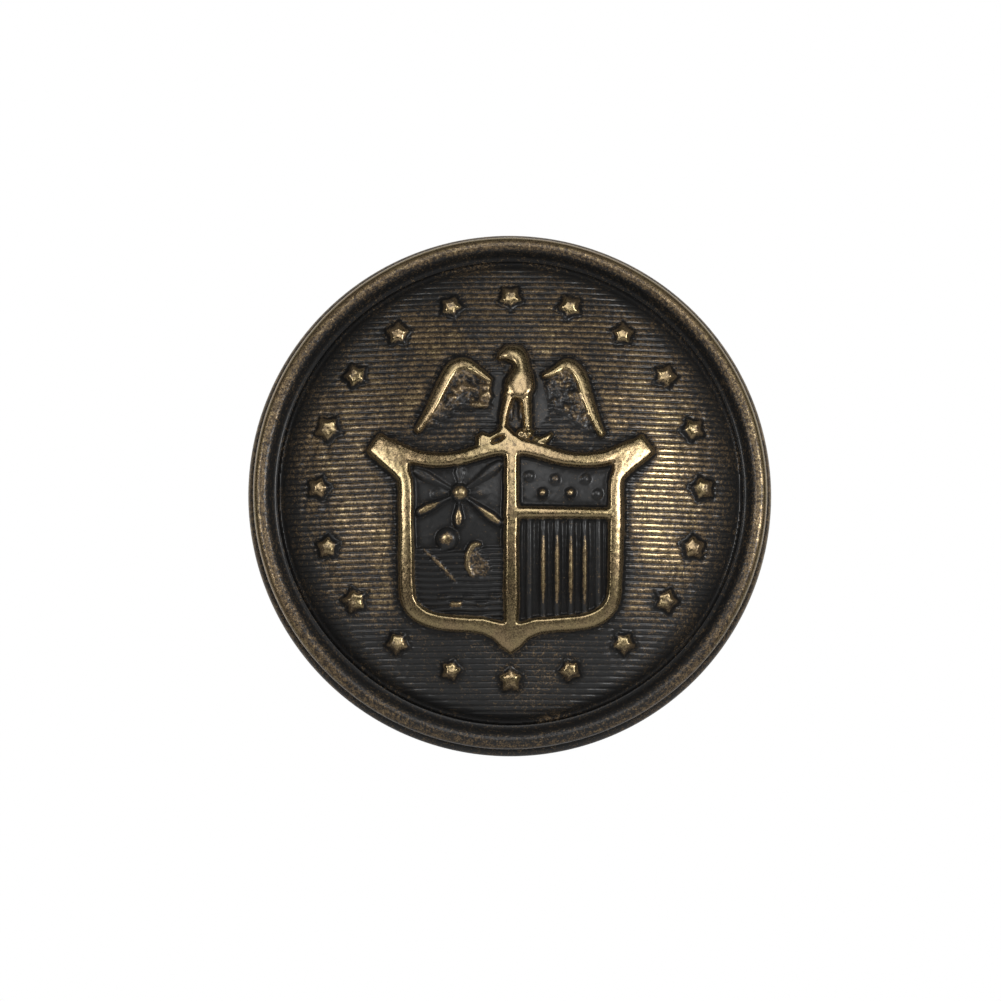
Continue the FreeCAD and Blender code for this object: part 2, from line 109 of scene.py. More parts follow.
def cloud(sigma):
    """Seeded noise of about unit size whose features are about sigma mm wide."""
    c = blur(rng.standard_normal(X.shape), sigma)
    return c / c.std()


def near(points, margin=0.5):
    """The part of the grid round some points of the drawn emblem: (index, x, z)."""
    px, pz = [p[0] for p in points], [p[1] for p in points]
    i0, i1 = np.searchsorted(V[:, 0], [min(pz) - margin, max(pz) + margin])
    j0, j1 = np.searchsorted(U[0], [min(px) - margin, max(px) + margin])
    at = (slice(i0, i1), slice(j0, j1))
    return at, U[at], V[at]


def outline_distance(x, z, points):
    """Signed distance to a closed outline, negative inside."""
    best = np.full(x.shape, 1e9)
    inside = np.zeros(x.shape, bool)
    for (ax, az), (bx, bz) in zip(points, points[1:] + points[:1]):
        ex, ez = bx - ax, bz - az
        t = np.clip(((x - ax) * ex + (z - az) * ez) / (ex * ex + ez * ez + 1e-12), 0, 1)
        best = np.minimum(best, (x - ax - t * ex) ** 2 + (z - az - t * ez) ** 2)
        if az != bz:
            inside ^= ((az > z) != (bz > z)) & (x < ax + (z - az) * ex / ez)
    return np.where(inside, -1, 1) * np.sqrt(best)


def stroke_distance(x, z, points):
    """Signed distance to a line of changing width through (x, z, half width) points."""
    best = np.full(x.shape, 1e9)
    for (ax, az, ar), (bx, bz, br) in zip(points, points[1:]):
        ex, ez = bx - ax, bz - az
        t = np.clip(((x - ax) * ex + (z - az) * ez) / (ex * ex + ez * ez + 1e-12), 0, 1)
        best = np.minimum(best, np.hypot(x - ax - t * ex, z - az - t * ez) - ar - t * (br - ar))
    return best


def curve(points):
    """A smooth curve through points of any size."""
    p = np.array([points[0]] + list(points) + [points[-1]], float)
    out = []
    for a, b, c, d in zip(p, p[1:], p[2:], p[3:]):
        for t in np.arange(CURVE_STEPS) / CURVE_STEPS:
            out.append(0.5 * (2 * b + (c - a) * t + (2 * a - 5 * b + 4 * c - d) * t ** 2
                              + (3 * b - a - 3 * c + d) * t ** 3))
    return [tuple(q) for q in out] + [tuple(points[-1])]


def flip(points):
    """Points mirrored across the emblem's upright axis."""
    return [(2 * AXIS_X - p[0],) + tuple(p[1:]) for p in points]


def plateau(d, height, flank):
    return height * smooth(0.5 - d / flank)


def cushion(d, height, reach):
    t = np.clip(-d / reach, 0, 1)
    return height * np.sqrt(t * (2 - t))


def rounded(d, height, reach):
    """A steep edge with a softly domed top."""
    return plateau(d - 0.06, 0.6 * height, 0.16) + cushion(d - 0.03, 0.4 * height, reach)


def stroke(points):
    at, x, z = near(points, 0.9)
    return at, stroke_distance(x, z, points)


def outline(points):
    at, x, z = near(points)
    return at, outline_distance(x, z, points)


def disc(x, z, r):
    at, gx, gz = near([(x - r, z - r), (x + r, z + r)])
    return at, np.hypot(gx - x, gz - z) - r


relief = np.zeros(X.shape)
rough = cloud(0.07) * 0.5 + cloud(0.16) * 0.5


def raise_to(piece, form, *sizes):
    at, d = piece
    relief[at] = np.maximum(relief[at], form(d, *sizes))


# how far the finish is rubbed off the small pieces inside the shield
polish = np.zeros(X.shape)


def rub(piece, amount, soft=0.12):
    at, d = piece
    polish[at] = np.maximum(polish[at], amount * smooth(0.5 - d / soft))


# the shield: one distance field for its whole frame, so that its bars run into each other softly
frame_d = np.full(X.shape, 9.0)
side = curve([
    (-5.75, 1.85, 0.42), (-5.3, 1.3, 0.36), (-5.06, 0.6, 0.31), (-5.04, -1.0, 0.32), (-5.0, -4.1, 0.34),
    (-4.86, -5.15, 0.33), (-4.36, -5.74, 0.34), (-3.6, -6.07, 0.34), (-2.6, -6.2, 0.33),
    (-1.6, -6.27, 0.32), (-0.9, -6.42, 0.34), (AXIS_X, -6.78, 0.42)])
band = curve([
    (-5.7, 2.35, 0.36), (-5.1, 2.06, 0.34), (-4.4, 1.8, 0.32), (-3.4, 1.7, 0.315), (-2.4, 1.79, 0.32),
    (-1.5, 2.06, 0.33), (-0.7, 2.28, 0.36), (AXIS_X, 2.36, 0.4)])
ear = [(-6.9, 2.14), (-6.92, 2.26), (-6.38, 3.02), (-6.24, 3.04), (-5.5, 2.5), (-4.95, 2.2), (-4.92, 1.4),
       (-5.3, 0.9), (-5.45, 0.88)]
tip = [(-2.0, -6.5), (-1.3, -6.62), (-0.8, -6.85), (-0.4, -7.3), (AXIS_X, -7.62)]
tip = tip + flip(tip)[::-1][1:] + [(1.4, -6.0), (AXIS_X, -6.3), (-1.3, -6.0)]
pale = [(AXIS_X + 0.02, 2.4, 0.32), (AXIS_X + 0.02, -6.8, 0.33)]
fess = [(0.3, -0.87, 0.23), (5.0, -0.87, 0.22)]


def join(a, b, soft=0.16):
    """Union of two distances with a fillet."""
    k = np.clip(0.5 + 0.5 * (b - a) / soft, 0, 1)
    return b + (a - b) * k - soft * k * (1 - k)


bars = [stroke(s) for s in (side, flip(side), band, flip(band), pale, fess)]
for at, d in bars + [outline(o) for o in (ear, flip(ear), tip)]:
    frame_d[at] = join(frame_d[at], d)
frame_d += 0.015 * cloud(0.45) - 0.05
shield_line = [(p[0], p[1]) for p in side]
shield_line += flip(shield_line)[::-1]
shield_line += [(p[0], p[1]) for p in flip(band) + band[::-1]]
inside_shield = outline_distance(U, V, shield_line)
relief = np.maximum(relief, plateau(frame_d, 0.35, 0.26) + cushion(frame_d, 0.09, 0.42))

# fields of the shield: pellets and pales at the right, a plain sun over ruled ground at the left
# pellets: x, z, height and how bare the top is
pellets = [(0.96, 0.92, 0.12, 0.1), (2.21, 0.77, 0.15, 0.45), (3.7, 0.8, 0.14, 0.1), (1.6, 0.08, 0.27, 0.85),
           (2.95, 0.1, 0.26, 0.85), (4.27, 0.08, 0.12, 0)]
for x, z, height, bare in pellets:
    raise_to(disc(x, z, 0.25), cushion, height, 0.22)
    rub(disc(x, z + 0.03, 0.14), bare)
PALE_COUNT, FIRST_PALE_X, PALE_PITCH, PALE_GAP = 6, 0.96, 0.674, 0.1
gaps = [0.62, 4.68]
for k in range(PALE_COUNT):
    x = FIRST_PALE_X + PALE_PITCH * k
    at, d = stroke([(x, -1.2, 0.17), (x, -6.0, 0.17)])
    middle = 0 < k < PALE_COUNT - 1
    swelling = 1 + 0.9 * middle * smooth((V[at] + 5.6) / 1.0) * smooth((-1.5 - V[at]) / 0.8)
    relief[at] = np.maximum(relief[at], cushion(d, 0.16, 0.13) * swelling)
    worn_top = [(x, -2.0, 0.03), (x, -2.8, 0.1), (x, -4.4, 0.1), (x, -5.2, 0.03)]
    rub(stroke(worn_top), 0.85 if middle else 0.15)
    if k < PALE_COUNT - 1:
        gaps.append(x + PALE_PITCH / 2)
SUN = (-2.44, 0.08)
# rays: direction in degrees, length and height
rays = [(36, 2.4, 0.15), (90, 1.25, 0.1), (152, 2.4, 0.15), (180, 1.2, 0.05),
        (205, 2.15, 0.25), (268, 1.5, 0.25), (323, 2.4, 0.25), (0, 1.2, 0.05)]
for angle, reach, height in rays:
    c, s = math.cos(math.radians(angle)), math.sin(math.radians(angle))
    ray = [(SUN[0] + r * c, SUN[1] + r * s, w) for r, w in ((0.5, 0.07), (reach * 0.8, 0.25), (reach, 0.2))]
    at, d = stroke(ray)
    relief[at] -= 0.07 * np.exp(-((d - 0.08) / 0.06) ** 2) * (d > -0.05)
    raise_to((at, d), cushion, height, 0.12)
    worn_top = [(SUN[0] + reach * t * c, SUN[1] + reach * t * s, w)
                for t, w in ((0.5, 0.03), (0.75, 0.15), (0.95, 0.12))]
    rub(stroke(worn_top), 0.9 if height > 0.2 else 0.15)
raise_to(disc(SUN[0], SUN[1], 0.45), cushion, 0.36, 0.42)
rub(disc(SUN[0] + 0.04, SUN[1] + 0.02, 0.32), 0.85, 0.2)
pale_gaps = sum(np.exp(-((U - x) / PALE_GAP) ** 2) for x in gaps) * (V < -1.0) * (inside_shield < 0)
water = (V < -2.65 - 0.1 * np.sin(U * 2)) & (U < AXIS_X) & (inside_shield < 0)
water_grooves = np.exp(-(((V + 0.02 * np.sin(U * 3)) / 0.29 % 1 - 0.5) / 0.19) ** 2)
ripple = 0.17 * (1 - water_grooves)
relief = np.where(water, np.maximum(relief, ripple), relief)
raise_to(disc(-3.03, -2.15, 0.54), cushion, 0.36, 0.54)
rub(disc(-3.06, -2.15, 0.26), 0.8, 0.3)
staff = [(-4.15, -2.65, 0.07), (-3.5, -3.25, 0.12), (-2.65, -4.15, 0.09)]
raise_to(stroke(staff), cushion, 0.24, 0.1)
rub(stroke([(x, z, r - 0.04) for x, z, r in staff]), 0.7)
leaf = curve([(-1.5, -2.42, 0.13), (-1.78, -2.48, 0.19), (-2.02, -2.95, 0.18), (-2.02, -3.5, 0.17),
              (-1.8, -3.95, 0.12)])
raise_to(stroke(leaf), cushion, 0.28, 0.15)
rub(stroke([(x, z, r - 0.04) for x, z, r in leaf]), 0.75)
at, d = outline([(-1.95, -4.05), (-1.95, -2.7), (-1.5, -2.6), (-1.3, -2.95), (-0.95, -3.2), (-0.85, -3.6),
                 (-1.1, -4.0)])
relief[at] = np.maximum(relief[at], plateau(d, 0.2, 0.2) * (1 + 0.35 * rough[at]))
rub((at, d + 0.1), 0.4)
for k in range(5):
    z = -4.95 - 0.33 * (k % 2)
    dash = stroke([(-3.4 + 0.62 * k, z, 0.12), (-3.05 + 0.62 * k, z, 0.12)])
    raise_to(dash, cushion, 0.27, 0.1)
    rub(dash, 0.8 if k == 1 else 0.1)

# the bird
wing_left = curve([
    (-4.44, 3.23, 0.16), (-3.83, 4.23, 0.24), (-3.31, 5.33, 0.29), (-2.88, 6.16, 0.3), (-2.53, 6.45, 0.3),
    (-2.14, 6.48, 0.28), (-1.75, 6.26, 0.24), (-1.4, 6.0, 0.2), (-1.01, 5.68, 0.15)])
wing_right = curve([
    (4.47, 3.05, 0.16), (4.13, 3.82, 0.22), (3.8, 4.75, 0.27), (3.54, 5.68, 0.29), (3.24, 6.22, 0.3),
    (2.84, 6.47, 0.28), (2.5, 6.34, 0.22), (2.12, 6.06, 0.18), (1.75, 5.9, 0.14)])
feathers_left = [(-4.4, 3.3), (-3.3, 5.6), (-2.75, 6.35), (-2.2, 6.4), (-1.3, 5.85), (-0.85, 5.5),
                 (-0.95, 5.1), (-0.8, 4.8), (-0.98, 4.5), (-0.85, 4.3), (-1.2, 4.25), (-1.75, 4.22),
                 (-2.2, 4.42), (-2.6, 4.31), (-3.14, 3.85), (-3.74, 3.42), (-4.2, 3.2)]
feathers_right = [(4.35, 3.0), (3.6, 5.6), (3.1, 6.3), (2.7, 6.3), (2.1, 5.85), (1.75, 5.5), (1.9, 4.8),
                  (2.0, 4.3), (2.42, 4.05), (2.85, 3.71), (3.46, 3.36)]
feather_cover = np.zeros(X.shape)
for feathers in (feathers_left, feathers_right):
    at, d = outline(feathers)
    lumps = 0.2 + 0.08 * rough[at] + 0.02 * np.sin((U[at] * 0.6 + V[at]) * 11)
    cover = smooth(0.5 - d / 0.16)
    relief[at] = np.maximum(relief[at], cover * lumps)
    feather_cover[at] = np.maximum(feather_cover[at], cover)
for wing in (wing_left, wing_right):
    at, d = stroke(wing)
    relief[at] = np.maximum(relief[at], plateau(d - 0.05, 0.26, 0.14) + cushion(d - 0.02, 0.14, 0.26))
    feather_cover[at] *= smooth(0.5 + d / 0.1)
for leg in ([(0.0, 4.95, 0.26), (-0.12, 4.5, 0.19), (-0.25, 3.9, 0.16), (-0.32, 3.35, 0.15)],
            [(0.76, 4.95, 0.26), (0.8, 4.5, 0.21), (0.84, 3.9, 0.18), (0.87, 3.35, 0.17)]):
    raise_to(stroke(leg), rounded, 0.42, 0.22)
raise_to(stroke([(0.12, 4.75, 0.07), (0.14, 4.3, 0.06), (0.08, 3.7, 0.05)]), cushion, 0.25, 0.08)
raise_to(stroke([(0.52, 4.75, 0.07), (0.5, 4.3, 0.06), (0.52, 3.7, 0.05)]), cushion, 0.25, 0.08)
body = curve([(0.5, 5.38, 0.68), (0.56, 5.74, 0.56), (0.6, 6.2, 0.38), (0.54, 6.6, 0.36), (0.34, 6.93, 0.42),
              (0.02, 7.04, 0.38)])
raise_to(stroke(body), rounded, 0.56, 0.5)
raise_to(stroke([(0.0, 7.04, 0.36), (-0.26, 6.95, 0.26), (-0.44, 6.82, 0.14)]), rounded, 0.46, 0.3)

# the perch and the claws on the shield's top
perch = [(-1.62, 2.3), (-1.62, 2.88), (-1.35, 3.06), (-1.0, 2.92), (-0.62, 3.1), (-0.42, 3.42), (-0.12, 3.36),
         (0.25, 3.0), (0.65, 2.75), (0.65, 2.2), (-0.8, 2.05)]
raise_to(outline(perch), plateau, 0.42, 0.26)
claws = [(0.55, 3.02, 0.24, 0.38), (0.95, 2.98, 0.24, 0.42), (0.75, 2.75, 0.18, 0.34), (1.3, 2.7, 0.22, 0.32),
         (1.62, 2.6, 0.24, 0.34), (1.12, 3.1, 0.14, 0.28)]
for x, z, r, h in claws:
    raise_to(disc(x, z, r), cushion, h, r)
raise_to(stroke([(1.4, 2.55, 0.22), (1.75, 2.72, 0.24), (2.02, 2.95, 0.14)]), cushion, 0.36, 0.2)
at, d = stroke([(-0.82, 2.55, 0.04), (-0.58, 2.7, 0.1), (-0.32, 2.82, 0.04)])
relief[at] -= plateau(d, 0.34, 0.12)

# stars
star_cover, outer_side = np.zeros(X.shape), np.zeros(X.shape)
for k in range(STAR_COUNT):
    a = math.pi / 2 + 2 * math.pi * k / STAR_COUNT
    cx = STAR_RING_R * math.cos(a) / EMBLEM_SIZE + AXIS_X
    cz = (STAR_RING_R * math.sin(a) + 0.06 - EMBLEM_Z) / EMBLEM_SIZE
    size = 1 + 0.04 * rng.standard_normal()
    turn = a + math.pi + 0.08 * rng.standard_normal()
    points = []
    for i, r in enumerate([STAR_TIP_R, STAR_NOTCH_R] * 5):
        corner = turn + i * math.pi / 5
        points.append((cx + r * size * math.cos(corner), cz + r * size * math.sin(corner)))
    at, d = outline(points)
    inward = -((U[at] - cx) * math.cos(a) + (V[at] - cz) * math.sin(a))
    lump = (0.36 - 0.36 * inward + 0.02 * rough[at]) * smooth((0.12 - d) / 0.36)
    relief[at] = np.maximum(relief[at], lump)
    # star_cover reaches about 0.24 mm past each star; through the hollows' black below it paints a dark halo
    # round each star, a painted shadow
    star_cover[at] = np.maximum(star_cover[at], smooth(1.2 - d / 0.2))
    outer_side[at] = np.maximum(outer_side[at], smooth(0.5 - d / 0.1) * smooth(0.3 - inward / 0.5))

relief = blur(relief, 0.045)

# the ruled ground
bird_patch = outline_distance(U, V, [
    (-0.95, 6.0), (-0.95, 3.9), (-0.4, 3.3), (1.4, 3.3), (1.9, 3.85), (2.1, 6.0), (1.25, 6.3), (0.95, 7.3),
    (-0.6, 7.4), (-0.2, 6.6), (-0.3, 5.9)])
covered = np.maximum.reduce([smooth(0.5 - frame_d / 0.1), smooth(-inside_shield / 0.1),
                             smooth(0.5 - bird_patch / 0.3), smooth(relief / 0.1) * (R < 8.3)])
open_ground = (1 - covered) * (1 - star_cover) * smooth((11.0 - R) / 0.35)
phase = ((Z + 0.006 * cloud(0.9)) / RULE_PITCH + 0.5) % 1 - 0.5
groove = np.exp(-(phase / 0.12) ** 2)
rule = RULE_DEPTH * (1 - groove - 0.18 * (2 * np.abs(phase) - 0.95) ** 2)
rule = rule * (1 + 0.12 * cloud(0.12)) * open_ground
surface = relief + rule + 0.0022 * cloud(0.06)

# where the black finish is rubbed off again: the high relief most, then the ridges away from the emblem, with
# painted highlight and painted shade mixed into the same values below
crowded = blur(np.maximum(covered, 0.6 * star_cover), 0.5)
clear = 1 - smooth((crowded - 0.12) / 0.33)
# painted highlight: extra bare metal in two bands at x = +-7.3 mm, stronger at the right, where the side
# lamps' highlights fall on the ruled ground
painted_highlight_bands = sum(a * np.exp(-((X - x) / 1.5) ** 2 - (Z / 4.2) ** 4) for x, a in ((7.3, 0.32), (-7.3, 0.1)))
ground_wear_and_painted_light = (0.41 + painted_highlight_bands - 0.6 * groove + 0.1 * cloud(0.25)) * clear * open_ground
# less bare metal towards the dome's edge, and painted shade: almost none towards the bottom of the dome
ground_wear_and_painted_light *= (1 - 0.75 * smooth((R - 8.8) / 2.1)) * (1 - 0.92 * smooth((-Z - 5.6) / 2.3))
rubbed_relief = smooth((relief - 0.12) / 0.14)
edges = np.clip((relief - blur(relief, 0.1)) / 0.04, 0, 1)
in_field = smooth(-inside_shield / 0.1) * (frame_d > 0.05)
feather_dark = feather_cover * (0.62 - 2.2 * np.clip(relief - 0.2, 0, 0.17))
# bare metal per point: real rubbing, with the painted highlight and painted shade of the ground carried along
wear_and_painted_light = ground_wear_and_painted_light + (0.8 + 0.25 * edges) * rubbed_relief * (1 - feather_dark)
wear_and_painted_light = wear_and_painted_light * (1 - 0.5 * outer_side) * (1 - in_field) + in_field * (polish - 0.1)
wear_and_painted_light += 0.05 * cloud(0.5) * (1 - in_field)
# how black the hollows stay: the black finish left in them, made darker still as painted shade in hollows,
# grooves, gaps and round the stars
hollow = smooth((blur(relief, 0.22) - relief) / 0.06)
hollow_black_and_shade = np.maximum.reduce([hollow, groove * open_ground, smooth((R - 10.7) / 0.4), water * water_grooves,
                           pale_gaps, star_cover]) * (1 - rubbed_relief)


# ---- mesh of the front shell --------------------------------------------------------------------
def on_arc(centre, radius, start, end, n):
    """Section points on an arc, by the slope of the surface from facing the front."""
    a = np.radians(np.linspace(start, end, n))
    return np.stack([centre[0] + radius * np.sin(a), centre[1] - radius * np.cos(a)], 1)


def section():
    """The shell's section from the channel outwards, round the fold and in along the lip: (r, y, wear)."""
    valley = (CHANNEL_R, CHANNEL_Y - CHANNEL_RIM_ARC)
    rim_side = [(RIM_R + RIM_OUT, RIM_Y + RIM_OUT + RIM_SIDE * t) for t in (0.4, 0.8)]
    neck = [(RIM_R + RIM_OUT - 0.03, RIM_Y + RIM_OUT + RIM_SIDE + 0.03),
            (NECK_R + 0.04, -1.32), (NECK_R, -1.25), (NECK_R + 0.03, -1.19)]
    fold = (BADGE_R - FOLD_R, -FOLD_R)
    lip = [(11.9, 0), (11.7, 0), (LIP_R + 0.05, 0), (LIP_R, -0.04), (LIP_R, -0.2), (LIP_R, -SHEET)]
    runs = [
        (on_arc(valley, -CHANNEL_RIM_ARC, 0, -RIM_FLANK, 10)[1:], 0.0, 0.04),
        (on_arc((RIM_R, RIM_Y + RIM_IN), RIM_IN, -RIM_FLANK, -36, 6), 0.06, 0.12),
        (on_arc((RIM_R, RIM_Y + RIM_IN), RIM_IN, -32, 0, 9), 0.24, 0.46),
        (on_arc((RIM_R, RIM_Y + RIM_OUT), RIM_OUT, 0, 36, 8)[1:], 0.47, 0.62),
        (on_arc((RIM_R, RIM_Y + RIM_OUT), RIM_OUT, 40, 90, 10), 0.95, 0.9),
        (rim_side, 0.6, 0.3),
        (neck, 0.1, 0.0),
        (on_arc(fold, FOLD_R, 30, 60, 5), 0.1, 0.45),
        (on_arc(fold, FOLD_R, 66, 180, 14), 0.6, 0.7),
        (lip, 0.7, 0.3),
    ]
    rows = []
    for points, w0, w1 in runs:
        for (r, y), w in zip(points, np.linspace(w0, w1, len(points))):
            rows.append((r, y, w))
    return np.array(rows)


def front_mesh():
    inside = R < GRID_R
    cell = inside[:-1, :-1] & inside[1:, :-1] & inside[:-1, 1:] & inside[1:, 1:]
    count = np.zeros(X.shape, int)
    for i, j in ((0, 0), (1, 0), (0, 1), (1, 1)):
        count[i:i + cell.shape[0], j:j + cell.shape[1]] += cell
    used = count > 0
    index = np.full(X.shape, -1)
    index[used] = np.arange(used.sum())
    rim = used & (count < 4)
    angle = np.arctan2(Z, X)
    x = np.where(rim, CHANNEL_R * np.cos(angle), X)
    z = np.where(rim, CHANNEL_R * np.sin(angle), Z)
    y = np.where(rim, CHANNEL_Y, dome_y(np.minimum(R, CHANNEL_R), surface))
    co = np.stack([x[used], y[used], z[used]], 1)
    i, j = np.nonzero(cell)
    quads = np.stack([index[i, j], index[i, j + 1], index[i + 1, j + 1], index[i + 1, j]], 1)
    ring = index[rim]
    ring_angle = angle[rim]
    order = np.argsort(ring_angle)
    ring, ring_angle = ring[order], ring_angle[order]
    n = len(ring)
    rows = section()
    waves = ((2, 0.01, 0.4), (3, 0.008, 2.0), (7, 0.005, 1.1), (13, 0.004, 3.0), (29, 0.003, 0.2))
    wobble = sum(a * np.sin(k * ring_angle + p) for k, a, p in waves)
    c, s = np.cos(ring_angle), np.sin(ring_angle)
    # the rows carry slight waviness and jitter, and the bare metal thins towards the foot of the badge as
    # painted shade on the lower side
    parts, wears_and_painted_light = [co], [wear_and_painted_light[used]]
    # the channel's edge ring gets deep black: black finish in the hollow, darkened further as painted shade
    hollow_black_and_shade_rows = [np.where(rim, 0.9, hollow_black_and_shade)[used]]
    previous = ring
    faces = [quads]
    base = len(co)
    for r, y, w in rows:
        soft = smooth((r - 11.3) / 0.4) * (y < -1.3)
        jitter = 0.0035 * rng.standard_normal(n)
        rr = r + wobble * soft * 0.6 + jitter * soft
        rr = np.minimum(rr, BADGE_R)
        parts.append(np.stack([rr * c, y + wobble * soft + jitter * soft, rr * s], 1))
        # painted shade: the rim and fold are made darker on their lower half
        low = np.clip(-s - 0.1, 0, 1) * (0.9 if y > -1.4 else 0.78)
        wears_and_painted_light.append(np.clip(w * (1 - low) + 3.0 * wobble * soft + 0.03 * rng.standard_normal(n), 0, 1))
        # the channel and the neck's groove get the darkest black, black finish plus painted shade; the rest a
        # middle value
        hollow_black_and_shade_rows.append(np.full(n, 0.95 if r < 11.36 or y > -1.5 and w < 0.2 else 0.35))
        here = base + np.arange(n)
        faces.append(np.stack([previous, np.roll(previous, -1), np.roll(here, -1), here], 1))
        previous = here
        base += n
    return np.concatenate(parts), np.concatenate(faces), np.concatenate(wears_and_painted_light), np.concatenate(hollow_black_and_shade_rows)


def mesh_object(name, co, faces, sharp_deg=180):
    """A smooth-shaded mesh object from mm coordinates, with edges over sharp_deg left sharp."""
    mesh = bpy.data.meshes.new(name)
    co = np.asarray(co, np.float32) * MM
    faces = np.asarray(faces, np.int32)
    mesh.vertices.add(len(co))
    mesh.vertices.foreach_set("co", co.ravel())
    size = faces.shape[1]
    mesh.loops.add(faces.size)
    mesh.loops.foreach_set("vertex_index", faces.ravel())
    mesh.polygons.add(len(faces))
    mesh.polygons.foreach_set("loop_start", np.arange(0, faces.size, size, dtype=np.int32))
    mesh.polygons.foreach_set("use_smooth", np.full(len(faces), True))
    mesh.update(calc_edges=True)
    mesh.validate()
    mesh.set_sharp_from_angle(angle=math.radians(sharp_deg))
    obj = bpy.data.objects.new(name, mesh)
    bpy.context.scene.collection.objects.link(obj)
    return obj


def attribute(obj, name, values):
    layer = obj.data.attributes.new(name, "FLOAT", "POINT")
    layer.data.foreach_set("value", np.asarray(values, np.float32))


# ---- materials ----------------------------------------------------------------------------------
class Nodes:
    """Short way to wire a material."""

    def __init__(self, name):
        self.material = bpy.data.materials.new(name)
        self.material.use_nodes = True
        self.tree = self.material.node_tree
        self.shader = self.tree.nodes["Principled BSDF"]
        self.coords = self.tree.nodes.new("ShaderNodeTexCoord").outputs["Object"]

    def link(self, value, socket):
        if isinstance(value, (int, float, tuple)):
            socket.default_value = value
        else:
            self.tree.links.new(value, socket)

    def attribute(self, name):
        node = self.tree.nodes.new("ShaderNodeAttribute")
        node.attribute_name = name
        return node.outputs["Fac"]

    def noise(self, size_mm, detail=3.0, rough=0.55, stretch=None):
        node = self.tree.nodes.new("ShaderNodeTexNoise")
        node.inputs["Scale"].default_value = 1000.0 / size_mm
        node.inputs["Detail"].default_value = detail
        node.inputs["Roughness"].default_value = rough
        source = self.coords
        if stretch:
            mapping = self.tree.nodes.new("ShaderNodeMapping")
            mapping.inputs["Scale"].default_value = stretch
            self.link(source, mapping.inputs["Vector"])
            source = mapping.outputs["Vector"]
        self.link(source, node.inputs["Vector"])
        return node.outputs["Fac"]

    def math(self, kind, *values):
        node = self.tree.nodes.new("ShaderNodeMath")
        node.operation = kind
        for value, socket in zip(values, node.inputs):
            self.link(value, socket)
        return node.outputs[0]

    def ramp(self, value, low, high, out_low=0.0, out_high=1.0):
        node = self.tree.nodes.new("ShaderNodeMapRange")
        node.interpolation_type = "SMOOTHSTEP"
        for key, v in (("Value", value), ("From Min", low), ("From Max", high), ("To Min", out_low),
                       ("To Max", out_high)):
            self.link(v, node.inputs[key])
        return node.outputs[0]

    def mix(self, factor, a, b):
        node = self.tree.nodes.new("ShaderNodeMix")
        node.data_type = "RGBA"
        self.link(factor, node.inputs[0])
        self.link(a, node.inputs[6])
        self.link(b, node.inputs[7])
        return node.outputs[2]

    def bump(self, height, distance_mm, strength=1.0, normal=None):
        node = self.tree.nodes.new("ShaderNodeBump")
        node.inputs["Strength"].default_value = strength
        node.inputs["Distance"].default_value = distance_mm * MM
        self.link(height, node.inputs["Height"])
        if normal is not None:
            self.link(normal, node.inputs["Normal"])
        return node.outputs[0]


def antique_brass(name):
    """Blackened brass: black in the hollows, brown where it thins, bare metal where rubbed; the attributes it
    reads also carry painted highlight and painted shade.
    """
    n = Nodes(name)
    grain = n.noise(0.075, 2.0, 0.6)
    speck = n.noise(0.2, 3.0, 0.65)
    patch = n.noise(1.5, 3.0, 0.6)
    deep = n.attribute("deep")
    # this attribute is rubbed-off finish plus painted highlight bands and painted shade low on the dome and
    # rim
    wear_and_painted_light_map = n.attribute("wear_and_painted_light")
    grain_share = n.math("MULTIPLY", n.math("SUBTRACT", grain, 0.5), n.ramp(wear_and_painted_light_map, 0.5, 0.9, 1.4, 0.7))
    worn_and_painted_light = n.math("ADD", wear_and_painted_light_map, grain_share)
    worn_and_painted_light = n.math("ADD", worn_and_painted_light, n.math("MULTIPLY", n.math("SUBTRACT", speck, 0.5), 0.8))
    worn_and_painted_light = n.math("ADD", worn_and_painted_light, n.math("MULTIPLY", n.math("SUBTRACT", patch, 0.5), 0.3))
    thin = n.ramp(worn_and_painted_light, 0.08, 0.45)
    bare = n.ramp(worn_and_painted_light, 0.42, 0.9)
    metal = n.mix(n.ramp(patch, 0.4, 0.62), (0.37, 0.285, 0.145, 1), (0.38, 0.275, 0.15, 1))
    metal = n.mix(n.ramp(grain, 0.42, 0.62), n.mix(0.45, metal, (0.1, 0.075, 0.04, 1)), metal)
    # painted shade: where 'deep' is high the black finish is darkened from 0.016 to 0.004
    black = n.mix(deep, (0.016, 0.016, 0.016, 1), (0.004, 0.0038, 0.0036, 1))
    brown = n.mix(n.ramp(speck, 0.35, 0.65), (0.06, 0.041, 0.024, 1), (0.15, 0.104, 0.058, 1))
    n.link(n.mix(bare, n.mix(thin, black, brown), metal), n.shader.inputs["Base Color"])
    metal_share = n.math("ADD", n.math("MULTIPLY", thin, 0.55), n.math("MULTIPLY", bare, 0.42))
    n.link(metal_share, n.shader.inputs["Metallic"])
    rough_metal = n.ramp(grain, 0.3, 0.7, 0.2, 0.36)
    rough_dark = n.math("ADD", n.ramp(speck, 0.3, 0.7, 0.34, 0.5), n.math("MULTIPLY", deep, 0.3))
    mixed = n.math("ADD", n.math("MULTIPLY", rough_metal, bare),
                   n.math("MULTIPLY", rough_dark, n.math("SUBTRACT", 1.0, bare)))
    n.link(mixed, n.shader.inputs["Roughness"])
    for socket, value in (("Specular IOR Level", 0.2), ("Coat Weight", 0.25), ("Coat Roughness", 0.22)):
        n.shader.inputs[socket].default_value = value
    first = n.bump(grain, 0.006, 0.6)
    n.link(n.bump(speck, 0.012, 0.35, first), n.shader.inputs["Normal"])
    return n.material


